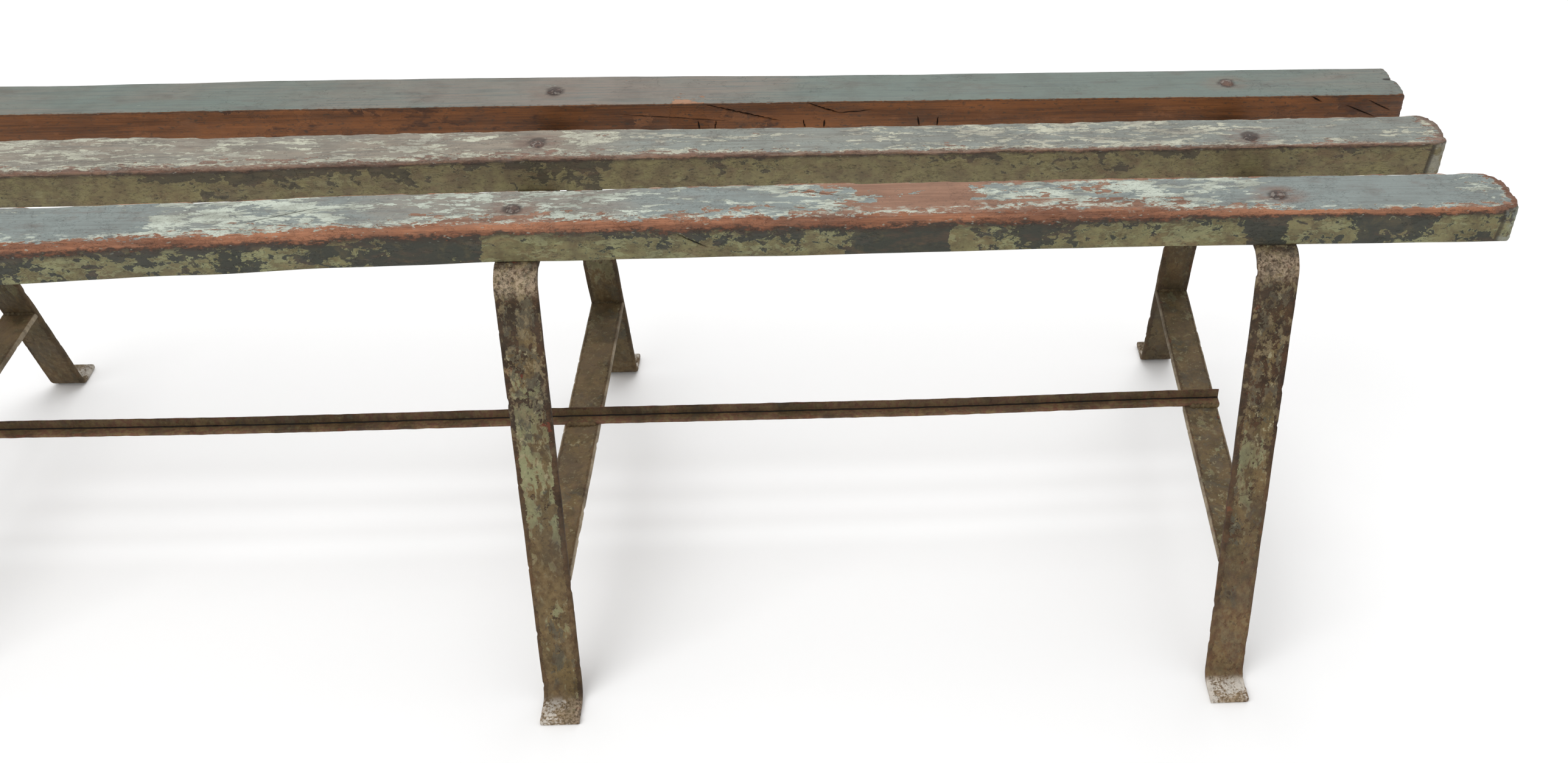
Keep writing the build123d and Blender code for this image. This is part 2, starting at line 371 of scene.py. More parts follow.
def painted_timber(name, look):
    """Painted board: a top coat, a side coat, and bare wood where the arris is worn."""
    material, w, shader, place = new_material(name)
    at = w.stretch(place, (1, 1, 1), shift=look["shift"])
    wood = use(w, "bare_wood", {"Vector": at, "Light": look["wood"][0], "Dark": look["wood"][1]})
    rubbed = use(w, "bare_wood", {"Vector": at, "Light": look["rubbed"][0], "Dark": look["rubbed"][1]})
    band = w.attribute("band")
    tip = w.attribute("tip")
    torn = w.minus(w.grain(at, 60, 170, 5.0, 0.7, 0.5), 0.5)
    fine = w.noise(w.stretch(at, (0.45, 1, 1)), 430.0, 3.0, 0.65)

    # top coat: tints, streaks along the grain, an older pale coat and bare wood
    tide = w.plus(w.attribute("tint"), w.grain(at, 7, 26, 5.0, 0.65, 0.4))
    coat = w.mix(w.ramp(tide, 0.72, 1.28), look["top"][0], look["top"][1])
    streaks = w.grain(at, 14, 420, 4.0, 0.65, 0.2)
    coat = w.mix(w.ramp(streaks, 0.42, 0.70, 0.0, look["streak"]), coat, look["top"][2])
    stain = w.grain(at, 30, 90, 5.0, 0.7)
    coat = w.mix(w.ramp(stain, 0.50, 0.72, 0.0, 0.5), coat, look["top"][3])
    near = w.ramp(band, -5.0, -0.8, 0.0, look["rim_bare"])
    share = w.plus(w.attribute("bare"), near)
    scales = use(w, "flaking", {"Vector": w.stretch(at, (0.42, 1, 1)), "Scale": look["flake_scale"],
                                "Bare": share, "Pale": w.attribute("pale"), "Rim": 0.016})
    pale = w.maths("MAXIMUM", scales["Pale"], w.times(scales["Rim"], look["rim"]))
    chalk = w.mix(w.ramp(stain, 0.40, 0.62), look["flake"], look["flake_dull"])
    top = w.mix(pale, coat, chalk)
    ridges = w.grain(at, 60, 160, 3.0, 0.6, 0.8)
    crazed = w.ramp(w.maths("ABSOLUTE", w.minus(ridges, 0.5)), 0.012, 0.004)
    top = w.mix(w.times(w.times(crazed, scales["Pale"]), 0.55), top, look["top"][3])
    top = w.mix(scales["Bare"], top, rubbed["Color"])
    pits = w.ramp(w.plus(fine, w.ramp(band, -3.5, -0.8, 0.0, 0.09)), 0.66, 0.71)
    top = w.mix(w.times(pits, 0.6), top, (0.07, 0.055, 0.045))

    # side coat: mossy green over a dark old coat
    plates = use(w, "flaking", {"Vector": w.stretch(at, (0.62, 1.0, 0.9), shift=(3, 1, 2)),
                                "Scale": look["plate_scale"], "Bare": w.attribute("dark"),
                                "Pale": look["side_pale"], "Rim": 0.010, "Crisp": 0.005})
    cloud = w.noise(at, 62.0, 6.0, 0.7, 0.3)
    moss = w.mix(w.ramp(cloud, 0.36, 0.64), look["side"][0], look["side"][1])
    moss = w.mix(w.times(plates["Pale"], 0.45), moss, look["side"][3])
    old = w.mix(w.ramp(cloud, 0.48, 0.72, 0.0, 0.6), look["side"][2], look["side"][0])
    side = w.mix(plates["Bare"], moss, old)
    side = w.mix(w.times(plates["Rim"], 0.8), side, look["side"][3])
    worn = w.grain(at, 24, 70, 6.0, 0.72)
    side = w.mix(w.ramp(worn, look["worn_from"], look["worn_from"] + 0.12, 0.0, look["side_wood"]),
                 side, wood["Color"])
    mottle = w.ramp(fine, 0.56, 0.70, 0.0, 0.65)
    side = w.mix(mottle, side, (0.035, 0.032, 0.024))

    # the worn arris between them, with a pale lip above and a dark crust below
    ragged = w.plus(band, w.times(torn, 2.6))
    ragged = w.plus(ragged, w.times(w.minus(fine, 0.5), 1.6))
    coats = w.mix(w.ramp(ragged, -0.1, 0.1), top, side)
    lip = w.times(w.ramp(ragged, -1.9, -1.1), w.ramp(torn, -0.02, 0.05, 0.0, look["lip"]))
    coats = w.mix(w.times(lip, w.ramp(ragged, 0.0, -0.5)), coats, look["flake"])
    crust = w.times(w.ramp(ragged, 2.1, 1.0), w.ramp(ragged, 0.2, 0.9))
    crust = w.times(crust, w.ramp(fine, 0.40, 0.52, look["crust"] * 0.5, look["crust"]))
    bare = w.times(w.ramp(ragged, -1.05, -0.85), w.ramp(ragged, 1.05, 0.85))
    bare = w.times(bare, look["arris"])
    deep = w.mix(w.ramp(ragged, 0.1, 1.1, 0.0, 0.7), wood["Color"], look["wood"][1])
    deep = w.mix(w.ramp(tip, 0.0, 0.4, 0.0, 0.9), deep, look["rubbed"][1])
    dressed = w.mix(bare, coats, deep)
    dressed = w.mix(crust, dressed, (0.045, 0.030, 0.022))

    # the slanting facets of the ends, painted paler with a painted shadow line at their crease, hairs of
    # torn grain, stains round the bolts, painted shade round the bolt heads and dirt
    # painted light: the slanting end facets are painted paler, in pale specks
    facet_light_and_specks = w.times(w.ramp(tip, 0.80, 0.86), w.ramp(band, 0.2, 1.2))
    facet_light_and_specks = w.times(facet_light_and_specks, w.ramp(stain, 0.42, 0.56, 0.05, look["end_facet_light_and_wear"]))
    dressed = w.mix(facet_light_and_specks, dressed, look["flake_dull"])
    # painted shade: a dark line along the crease where the end facet meets the front face
    fold = w.ramp(w.maths("ABSOLUTE", w.minus(tip, 0.81)), 0.150, 0.060)
    fold = w.times(fold, w.ramp(band, 0.2, 1.2, 0.0, look["end_facet_light_and_wear"]))
    dressed = w.mix(fold, dressed, (0.035, 0.028, 0.020))
    fibres = w.grain(at, 170, 420, 2.0, 0.5)
    hairs = w.times(w.ramp(fibres, 0.66, 0.72), w.ramp(w.maths("ABSOLUTE", band), 2.2, 0.6))
    dressed = w.mix(w.times(hairs, 0.6), dressed, look["flake_dull"])
    stained = w.times(w.attribute("stain"), w.ramp(stain, 0.35, 0.55, 0.15, 1.0))
    dressed = w.mix(w.times(stained, look["stain"]), dressed, look["rubbed"][1])
    # painted shade round the sunk bolt heads
    dressed = w.mix(w.times(w.attribute("head_shade"), 0.85), dressed, (0.045, 0.032, 0.026))
    dirty = use(w, "grime", {"Vector": at, "Color": dressed, "Blotches": look["grime"][0],
                             "Specks": look["grime"][1]})
    # painted shade: near black in the carved splits and the notch of the broken end
    painted_shade = w.ramp(w.attribute("painted_shade"), 0.25, 0.8)
    base = w.mix(painted_shade, dirty["Color"], (0.014, 0.010, 0.008))
    rough = w.ramp(w.maths("MAXIMUM", bare, scales["Bare"]), 0.0, 1.0, look["rough"], 0.75)
    height = w.plus(w.times(wood["Height"], 0.3),
                     w.plus(w.times(scales["Height"], 0.45),
                             w.times(w.plus(streaks, plates["Height"]), 0.3)))
    finish_surface(w, shader, base, rough, height, 0.0010)
    shader.inputs["Specular IOR Level"].default_value = 0.28
    return material


def painted_iron(name, shift, dust=0.3, sage=0.45, rusty=0.35, soil=(0.145, 0.086, 0.039), red=0.65,
                 calm=0.25, glint=0.0):
    """Flat iron under several old coats, chipped to rust along its edges."""
    material, w, shader, place = new_material(name)
    at = w.stretch(place, (1, 1, 1), shift=shift)
    axes = w.add("ShaderNodeSeparateXYZ", {0: place}).outputs
    height_up, backward = axes["Z"], axes["Y"]
    rust = use(w, "rust", {"Vector": at, "Scale": (0.026, 0.017, 0.012), "Bloom": (0.075, 0.040, 0.022)})
    cloud = w.noise(w.stretch(at, (1, 1, 0.6)), 34.0, 6.0, 0.68, 0.5)
    coat = w.mix(w.ramp(cloud, 0.40, 0.62), (0.062, 0.046, 0.021), (0.148, 0.104, 0.044))
    midway = w.times(w.ramp(height_up, 0.11, 0.20), w.ramp(height_up, 0.37, 0.30))
    pale_share = w.plus(w.times(midway, 0.20), sage - 0.12)
    pale = use(w, "flaking", {"Vector": w.stretch(at, (1.1, 1.0, 0.5), shift=(5, 2, 1)), "Scale": 38.0,
                              "Bare": pale_share, "Pale": 0.30, "Rim": 0.016, "Crisp": 0.010})
    coat = w.mix(w.times(pale["Bare"], 0.85), coat,
                 w.mix(w.ramp(cloud, 0.42, 0.60), (0.165, 0.160, 0.082), (0.250, 0.270, 0.145)))
    coat = w.mix(w.times(pale["Rim"], 0.45), coat, (0.31, 0.28, 0.18))
    slate_share = w.ramp(height_up, 0.24, 0.36, 0.38, 0.52)
    slate = use(w, "flaking", {"Vector": w.stretch(at, (1.0, 1.0, 0.6), shift=(9, 4, 7)), "Scale": 36.0,
                               "Bare": slate_share, "Pale": 0.2, "Rim": 0.012, "Crisp": 0.008})
    coat = w.mix(w.times(slate["Bare"], 0.85), coat, (0.062, 0.064, 0.048))
    fleck = w.noise(w.stretch(at, (1, 1, 0.7)), 210.0, 4.0, 0.68)
    sparse = w.ramp(height_up, 0.12, 0.28, calm, 1.0)
    coat = w.mix(w.times(w.ramp(fleck, 0.585, 0.64, 0.0, 0.85), sparse), coat, (0.32, 0.29, 0.175))
    coat = w.mix(w.ramp(fleck, 0.43, 0.37, 0.0, 0.75), coat, (0.045, 0.032, 0.020))
    edge = w.attribute("edge")
    share = w.plus(rusty - 0.06, w.ramp(edge, 0.05, 0.9, 0.0, 0.42))
    share = w.plus(share, w.ramp(height_up, 0.22, 0.36, 0.0, 0.17))
    chips = use(w, "flaking", {"Vector": w.stretch(at, (1.0, 1.0, 0.8)), "Scale": 85.0, "Bare": share,
                               "Pale": 0.2, "Rim": 0.012, "Crisp": 0.01})
    coat = w.mix(w.times(chips["Rim"], 0.4), coat, (0.26, 0.21, 0.12))
    primer = w.ramp(w.noise(at, 75.0, 3.0, 0.6), red, red + 0.04, 0.0, 0.8)
    under = w.mix(primer, rust["Color"], (0.125, 0.030, 0.018))
    base = w.mix(chips["Bare"], coat, under)
    grit = w.noise(at, 360.0, 5.0, 0.75)
    crumbs = w.ramp(w.noise(w.stretch(at, (1, 1, 0.6)), 120.0, 5.0, 0.7), 0.53, 0.60)
    crumbs = w.times(crumbs, w.ramp(height_up, 0.20, 0.32, 0.0, 0.65))
    base = w.mix(crumbs, base, (0.27, 0.215, 0.120))
    haze = w.noise(w.stretch(at, (1, 1, 0.5)), 26.0, 6.0, 0.7, 0.3)
    low_down = w.ramp(height_up, 0.23, 0.06, 0.0, 0.42)
    dusty = w.times(w.ramp(haze, 0.36, 0.60, 0.25, 1.0), w.plus(dust, low_down))
    clean = w.times(chips["Bare"], w.ramp(height_up, 0.18, 0.30, 0.0, 0.70))
    dusty = w.times(dusty, w.minus(1.0, clean))
    base = w.mix(dusty, base, w.mix(w.ramp(fleck, 0.42, 0.58), soil, (0.205, 0.138, 0.068)))
    scuffed = w.times(w.attribute("scuff"), w.ramp(grit, 0.43, 0.54, 0.10, 0.95))
    scuffed = w.times(scuffed, w.ramp(fleck, 0.38, 0.50, 0.50, 1.0))
    base = w.mix(scuffed, base, (0.47, 0.36, 0.25))
    crust = w.ramp(w.plus(haze, w.times(grit, 0.5)), 0.72, 0.82)
    chalky = w.times(w.attribute("toe"), crust)
    base = w.mix(chalky, base, (0.62, 0.57, 0.50))
    # painted highlight: a pale line along the edges of the bars, where light would catch them
    shine = w.times(w.ramp(edge, 0.80, 0.97), w.ramp(haze, 0.35, 0.60, glint * 0.3, glint))
    base = w.mix(shine, base, (0.42, 0.35, 0.25))
    # painted shade: darker towards the back of the bench and just under the boards
    shade_back_and_under_boards = w.plus(w.ramp(backward, -0.06, 0.13, 0.0, 0.45), w.ramp(height_up, 0.30, 0.375, 0.0, 0.20))
    base = w.mix(w.times(shade_back_and_under_boards, w.ramp(haze, 0.62, 0.45, 0.6, 1.0)), base, (0.034, 0.028, 0.013))
    dirty = use(w, "grime", {"Vector": at, "Color": base, "Blotches": 0.45, "Specks": 0.55})
    # painted shade: near black along the stretcher's inner corner, and its standing face darker
    painted_corner_shade = w.ramp(w.attribute("painted_shade"), 0.2, 0.9)
    base = w.mix(painted_corner_shade, dirty["Color"], (0.010, 0.007, 0.005))
    rough = w.ramp(chips["Bare"], 0.0, 1.0, 0.6, 0.85)
    height = w.plus(w.times(chips["Height"], 0.6), w.times(fleck, 0.7))
    finish_surface(w, shader, base, rough, height, 0.0010)
    shader.inputs["Specular IOR Level"].default_value = 0.18
    return material


def old_steel(name, shift):
    """Rusted bolt steel with remains of paint."""
    material, w, shader, place = new_material(name)
    at = w.stretch(place, (1, 1, 1), shift=shift)
    rust = use(w, "rust", {"Vector": at, "Scale": (0.030, 0.020, 0.016), "Bloom": (0.12, 0.065, 0.045)})
    paint = w.ramp(w.noise(at, 210.0, 4.0, 0.6), 0.54, 0.60, 0.0, 0.7)
    base = w.mix(paint, rust["Color"], (0.19, 0.165, 0.14))
    rough = w.ramp(paint, 0.0, 1.0, 0.7, 0.5)
    finish_surface(w, shader, base, rough, rust["Height"], 0.0004)
    return material


# --------------------------------------------------------------- board looks
LOOKS = {
    "front": {
        "shift": (0.0, 0.0, 0.0),
        "top": ((0.222, 0.202, 0.168), (0.192, 0.222, 0.212), (0.132, 0.145, 0.138), (0.125, 0.100, 0.085)),
        "streak": 0.55, "rim_bare": 0.30, "rim": 0.75, "flake_scale": 58.0,
        "flake": (0.44, 0.48, 0.41), "flake_dull": (0.29, 0.31, 0.26),
        "rubbed": ((0.285, 0.160, 0.105), (0.165, 0.085, 0.055)),
        "wood": ((0.345, 0.150, 0.078), (0.130, 0.052, 0.028)),
        "side": ((0.118, 0.095, 0.048), (0.188, 0.172, 0.082), (0.042, 0.044, 0.034), (0.27, 0.28, 0.15)),
        "plate_scale": 56.0, "side_pale": 0.42, "side_wood": 0.12, "worn_from": 0.50,
        "stain": 0.65, "arris": 1.0, "lip": 0.9, "crust": 0.85, "grime": (0.25, 0.35), "rough": 0.55,
        "end_facet_light_and_wear": 0.70,
    },
    "middle": {
        "shift": (0.7, 3.1, 1.3),
        "top": ((0.240, 0.205, 0.160), (0.205, 0.222, 0.200), (0.135, 0.130, 0.112), (0.115, 0.088, 0.070)),
        "streak": 0.75, "rim_bare": 0.28, "rim": 0.6, "flake_scale": 66.0,
        "flake": (0.43, 0.43, 0.34), "flake_dull": (0.29, 0.28, 0.23),
        "rubbed": ((0.245, 0.160, 0.120), (0.150, 0.095, 0.072)),
        "wood": ((0.230, 0.120, 0.080), (0.085, 0.045, 0.030)),
        "side": ((0.155, 0.120, 0.066), (0.215, 0.186, 0.090), (0.082, 0.070, 0.046), (0.26, 0.24, 0.13)),
        "plate_scale": 46.0, "side_pale": 0.30, "side_wood": 0.22, "worn_from": 0.50,
        "stain": 0.7, "arris": 0.8, "lip": 1.0, "crust": 0.8, "grime": (0.30, 0.40), "rough": 0.58,
        "end_facet_light_and_wear": 0.75,
    },
    "rear": {
        "shift": (2.3, 0.4, 5.0),
        "top": ((0.184, 0.155, 0.128), (0.132, 0.162, 0.140), (0.096, 0.120, 0.114), (0.105, 0.092, 0.078)),
        "streak": 0.70, "rim_bare": 0.10, "rim": 0.15, "flake_scale": 60.0,
        "flake": (0.27, 0.29, 0.25), "flake_dull": (0.20, 0.22, 0.20),
        "rubbed": ((0.36, 0.20, 0.12), (0.20, 0.11, 0.07)),
        "wood": ((0.240, 0.088, 0.027), (0.058, 0.023, 0.009)),
        "side": ((0.150, 0.058, 0.022), (0.205, 0.082, 0.030), (0.062, 0.026, 0.013), (0.19, 0.085, 0.040)),
        "plate_scale": 20.0, "side_pale": 0.1, "side_wood": 0.8, "worn_from": 0.36,
        "stain": 0.25, "arris": 0.0, "lip": 0.0, "crust": 0.75, "grime": (0.25, 0.15), "rough": 0.50,
        "end_facet_light_and_wear": 0.0,
    },
}

# How each board has worn along X: bare at its back, bare at its front, old pale coat, blueness.
WEAR = {
    "front": ((-0.80, 0.20, 0.30, 0.36, 0.5), (-0.42, 0.00, 0.12, 0.20, 0.7), (-0.30, 0.00, 0.08, 0.27, 0.9),
              (-0.27, 0.00, 0.05, 0.50, 0.6), (-0.14, 0.05, 0.15, 0.50, 0.6), (-0.10, 0.05, 0.25, 0.36, 0.4),
              (-0.03, 0.15, 0.30, 0.44, 0.2), (0.05, 0.15, 0.20, 0.52, 0.2), (0.11, 0.10, 0.15, 0.40, 0.6),
              (0.20, 0.30, 0.15, 0.46, 0.9), (0.27, 0.55, 0.12, 0.46, 0.9), (0.32, 0.70, 0.50, 0.30, 0.9),
              (0.345, 0.85, 0.85, 0.18, 0.9), (0.38, 0.46, 0.26, 0.50, 0.9), (0.45, 0.42, 0.28, 0.52, 0.9),
              (0.54, 0.32, 0.20, 0.52, 0.8), (0.60, 0.18, 0.18, 0.40, 0.8), (0.65, 0.00, 0.08, 0.18, 0.9),
              (0.74, 0.00, 0.06, 0.20, 1.0), (0.80, 0.10, 0.25, 0.40, 0.7)),
    "middle": ((-0.80, 0.20, 0.20, 0.45, 0.3), (-0.42, 0.10, 0.20, 0.46, 0.4),
               (-0.22, 0.15, 0.20, 0.40, 0.4), (-0.10, 0.15, 0.15, 0.47, 0.3),
               (0.00, 0.20, 0.25, 0.36, 0.2), (0.05, 0.10, 0.25, 0.50, 0.4),
               (0.13, 0.10, 0.15, 0.38, 0.8), (0.28, 0.08, 0.10, 0.36, 0.8),
               (0.40, 0.05, 0.10, 0.46, 0.8), (0.56, 0.05, 0.12, 0.46, 0.8),
               (0.66, 0.05, 0.12, 0.34, 0.9), (0.80, 0.20, 0.25, 0.42, 0.8)),
    "rear": ((-0.80, 0.02, 0.02, 0.10, 0.4), (-0.30, 0.0, 0.0, 0.08, 0.6), (0.05, 0.0, 0.0, 0.10, 0.3),
             (0.105, 0.0, 0.0, 0.10, 0.4), (0.114, 0.0, 0.54, 0.10, 0.4), (0.138, 0.0, 0.54, 0.10, 0.4),
             (0.150, 0.0, 0.0, 0.10, 0.4),
             (0.30, 0.0, 0.0, 0.14, 0.7), (0.50, 0.0, 0.0, 0.10, 0.9), (0.80, 0.05, 0.05, 0.10, 0.5)),
}
# Share of the dark old coat showing on the front face along X: (place, at the top, at the foot).
DARK = {
    "front": ((-0.80, 0.52, 0.42), (-0.42, 0.60, 0.50), (-0.35, 0.54, 0.38), (-0.25, 0.50, 0.42),
              (-0.20, 0.58, 0.50), (-0.10, 0.55, 0.48), (-0.09, 0.85, 0.80), (-0.03, 0.85, 0.75),
              (-0.02, 0.45, 0.20), (0.12, 0.50, 0.25), (0.22, 0.62, 0.30), (0.27, 0.62, 0.35),
              (0.285, 0.85, 0.90), (0.345, 0.85, 0.90), (0.355, 0.42, 0.28), (0.42, 0.55, 0.56),
              (0.46, 0.45, 0.33), (0.59, 0.45, 0.30), (0.60, 0.85, 0.80), (0.62, 0.85, 0.70),
              (0.63, 0.42, 0.28), (0.67, 0.50, 0.40), (0.70, 0.75, 0.60), (0.745, 0.68, 0.40),
              (0.755, 0.40, 0.30), (0.80, 0.48, 0.38)),
    "middle": ((-0.80, 0.40, 0.20), (-0.42, 0.30, 0.15), (-0.24, 0.75, 0.25), (-0.12, 0.60, 0.30),
               (-0.04, 0.42, 0.20), (0.02, 0.60, 0.38), (0.06, 0.55, 0.40), (0.08, 0.32, 0.15),
               (0.14, 0.45, 0.28), (0.18, 0.52, 0.32), (0.22, 0.30, 0.15), (0.40, 0.46, 0.22),
               (0.56, 0.55, 0.30), (0.62, 0.42, 0.16), (0.70, 0.45, 0.15), (0.80, 0.50, 0.30)),
    "rear": ((-0.80, 0.30, 0.20), (-0.45, 0.10, 0.10), (-0.20, 0.50, 0.40), (0.00, 0.80, 0.60),
             (0.15, 0.55, 0.45), (0.40, 0.35, 0.30), (0.60, 0.30, 0.30), (0.80, 0.60, 0.50)),
}
# Reach of each rounded arris: (place along X, reach over the top, reach down the front).
ARRIS = {
    "front": ((-0.80, 0.010, 0.006), (-0.05, 0.010, 0.006), (0.30, 0.010, 0.006), (0.38, 0.0125, 0.006),
              (0.48, 0.0115, 0.006), (0.58, 0.006, 0.004), (0.80, 0.005, 0.004)),
    "middle": ((-0.80, 0.006, 0.0025), (0.30, 0.005, 0.0025), (0.80, 0.003, 0.002)),
    "rear": ((-0.80, 0.0012, 0.0012), (0.80, 0.0012, 0.0012)),
}
END_BACK = {"front": 0.024, "middle": 0.019, "rear": 0.007}
END_FRONT = {"front": (0.017, 0.010), "middle": (0.013, 0.008), "rear": (0.002, 0.002)}
TAPER = {"front": 0.8, "middle": 0.7, "rear": 0.2}  # how square the corners get towards the foot
BACK_ARRIS = 0.0009
BACK_ARRIS_TIP = 0.0075  # its worn band at the rounded back corners
END_ARRIS = 0.0035
END_BAND = 0.0082  # width of the worn band along the ends
FOOT_ARRIS, END_FOOT_ARRIS = 0.0015, 0.002
SLAT_CELLS = Vector((0.0032, 0.0013, 0.0014))
BREAK = 0.03  # length of the rear board's broken end
NOTCH_PLACE, NOTCH_WIDTH, NOTCH_DEPTH = 0.003, 0.0022, 0.0055


def make_slat(which):
    """One board with worn arrises, a bow, eased ends and torn grain."""
    low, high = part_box(f"slat_{which}")
    size = high - low
    middle = (low + high) / 2
    cuts = [round(long / cell) for long, cell in zip(size, SLAT_CELLS)]
    bm = board(size.x, size.y, size.z, cuts)
    layers = {name: bm.verts.layers.float.new(name)
              for name in ("band", "bare", "pale", "tint", "dark", "stain", "head_shade", "tip", "painted_shade")}
    seed = SLATS.index(which) * 17.3
    half = Vector((size.x / 2, size.y / 2, size.z))
    reach_top = [(p, a) for p, a, _ in ARRIS[which]]
    reach_front = [(p, b) for p, _, b in ARRIS[which]]
    columns = {}
    bolts = []
    for side in SIDES:
        slip = BOLT_SLIP.get((side, which), (0.0, 0.0))
        bolts.append((FRAME_X[side] - middle.x + slip[0], slip[1]))
    for v in bm.verts:
        x, y, z = v.co
        key = round(x, 5)
        if key not in columns:
            wob = 1 + 0.35 * lumps(x, 0, 0, 0.05, seed) + 0.2 * lumps(x, 0, 0, 0.012, seed)
            at = x + middle.x
            wear = [along([(row[0], row[n]) for row in WEAR[which]], at) for n in (1, 2, 3, 4)]
            dark = [along([(row[0], row[n]) for row in DARK[which]], at) for n in (1, 2)]
            columns[key] = (along(reach_top, x) * wob, along(reach_front, x) * wob, wob, wear, dark)
        over, under, wob, wear, dark = columns[key]
        end, down = half.x - abs(x), half.z - z
        front_side = y < 0
        side = half.y - abs(y)
        if not front_side:
            over = under = BACK_ARRIS * wob
        # attributes that the paint reads: place across the arris, and shares of each coat
        tipward = step(END_BACK[which] * 1.2, END_BACK[which] * 0.4, end)
        reach_side = over + max(0.0, BACK_ARRIS_TIP * wob - over) * tipward
        near_side, near_end = side / reach_side, end / (END_BAND * wob)
        v[layers["tip"]] = step(0.030, 0.008, end)
        reach = under if near_side < near_end else END_ARRIS
        v[layers["band"]] = max(-8.0, min(down / reach - min(near_side, near_end), 12.0))
        deep = 0.5 - y / size.y
        v[layers["bare"]] = wear[0] * (1 - deep) + wear[1] * deep
        v[layers["pale"]] = wear[2]
        v[layers["tint"]] = wear[3]
        t = down / half.z
        v[layers["dark"]] = dark[0] * (1 - t) + dark[1] * t
        far = min(((x - bx) * 0.6) ** 2 + (y - by) ** 2 for bx, by in bolts) ** 0.5
        # painted shade: a dark disc under each bolt head, seen as a dark rim round the sunk head
        v[layers["stain"]] = step(0.018, 0.008, far)
        nearest = min((x - bx) ** 2 + (y - by) ** 2 for bx, by in bolts) ** 0.5
        v[layers["head_shade"]] = step(0.0088, 0.0074, nearest)
        if side < end:
            side, down = ease(side, down, over, under)
            if z < half.z / 2:
                side, low_down = ease(side, z, FOOT_ARRIS, FOOT_ARRIS)
                down = half.z - low_down
        else:
            end, down = ease(end, down, END_ARRIS * wob, END_ARRIS * wob)
            if z < half.z / 2:
                end, low_down = ease(end, z, END_FOOT_ARRIS, END_FOOT_ARRIS)
                down = half.z - low_down
        t = (half.z - z) / half.z
        if front_side:
            keep = 1 - TAPER[which] * t
            end, side = ease(end, side, END_FRONT[which][0] * keep, END_FRONT[which][1] * keep, 1.06)
        else:
            end, side = ease(end, side, END_BACK[which], END_BACK[which])
        sx, sy = (1 if x > 0 else -1), (1 if y > 0 else -1)
        end += TAPER[which] * 0.006 * t * step(0.05, 0.0, end)
        v.co = (sx * (half.x - end), sy * (half.y - side), half.z - down)
    bmesh.ops.recalc_face_normals(bm, faces=bm.faces)
    bm.normal_update()
    band = layers["band"]
    for v in bm.verts:
        x, y, z = v.co
        ridge = lumps(x * 0.06, y, z, 0.0022, seed)
        wave = lumps(x * 0.5, y, z, 0.03, seed + 5)
        push = 0.00022 * ridge + 0.0004 * wave
        close = exp(-((v[band] / 1.3) ** 2))
        if close > 0.15 and which != "rear":
            gouge = lumps(x * 0.35, y, z, 0.006, seed + 9)
            push -= close * 0.0014 * step(0.05, 0.45, gouge)
            push += close * 0.0007 * lumps(x * 0.12, y, z, 0.0018, seed + 3)
        v.co += v.normal * push
    if which == "rear":
        break_end(bm, half, layers["painted_shade"])
    for start, finish, facing, width, depth in SPLITS[which]:
        carve(bm, layers["painted_shade"], start, finish, facing, width, depth)
    for v in bm.verts:
        x = v.co.x + middle.x
        v.co = (x, v.co.y + middle.y + bowed(which, x, 0.5 - v.co.y / size.y), v.co.z + low.z)
    material = painted_timber(f"paint_{which}_slat", LOOKS[which])
    return piece(bm, f"board_{which}", material, "painted_timber", f"slat_{which}")


def break_end(bm, half, layer):
    """The rear board's right end has lost its back corner along a split."""
    for v in bm.verts:
        _, y, z = v.co
        from_end = half.x - v.co.x
        if from_end > BREAK:
            continue
        pull = 1 - from_end / BREAK
        ragged = 0.0015 * lumps(0, y, z, 0.006, 4.0) + 0.0008 * lumps(0, y, z, 0.002, 8.0)
        notch = NOTCH_DEPTH * exp(-(((y - NOTCH_PLACE) / NOTCH_WIDTH) ** 2))
        v.co.x -= pull * (0.0016 + ragged * 0.6 + 0.0040 * step(NOTCH_PLACE, 2 * NOTCH_PLACE, y) + notch)
        # marks painted shade in the notch
        v[layer] = max(v[layer], step(0.45, 0.75, pull) * notch / NOTCH_DEPTH)


def carve(bm, layer, start, finish, facing, width, depth):
    """Cuts a tapering V-shaped split along a line on one face of a board."""
    start, finish, facing = Vector(start), Vector(finish), Vector(facing)
    run = finish - start
    across = run.cross(facing).normalized()
    reach = 0.002

    def on_face():
        faces = []
        for f in bm.faces:
            offset = f.calc_center_median() - start
            t = offset.dot(run) / run.length_squared
            if -0.02 < t < 1.02 and abs(offset.dot(across)) < width + 0.006 and f.normal.dot(facing) > 0.5:
                if abs(offset.dot(facing)) < reach + 0.004:
                    faces.append(f)
        return faces

    for shift in (-width / 2, 0.0, width / 2):
        faces = on_face()
        near = list({e for f in faces for e in f.edges}) + list({v for f in faces for v in f.verts}) + faces
        bmesh.ops.bisect_plane(bm, geom=near, dist=1e-6, plane_co=start + across * shift, plane_no=across)
    touched = {v for f in on_face() for v in f.verts}
    for v in touched:
        offset = v.co - start
        t = offset.dot(run) / run.length_squared
        away = abs(offset.dot(across)) / (width / 2)
        # marks painted shade: fully along the bottom of the split, a little on its walls
        if 0 <= t <= 1 and away < 1.02:
            strength = sin(pi * min(max(t, 0.02), 0.98)) ** 0.5
            if away < 0.05:
                v.co -= facing * depth * strength
                v[layer] = max(v[layer], strength)
            else:
                v[layer] = max(v[layer], 0.35 * strength)


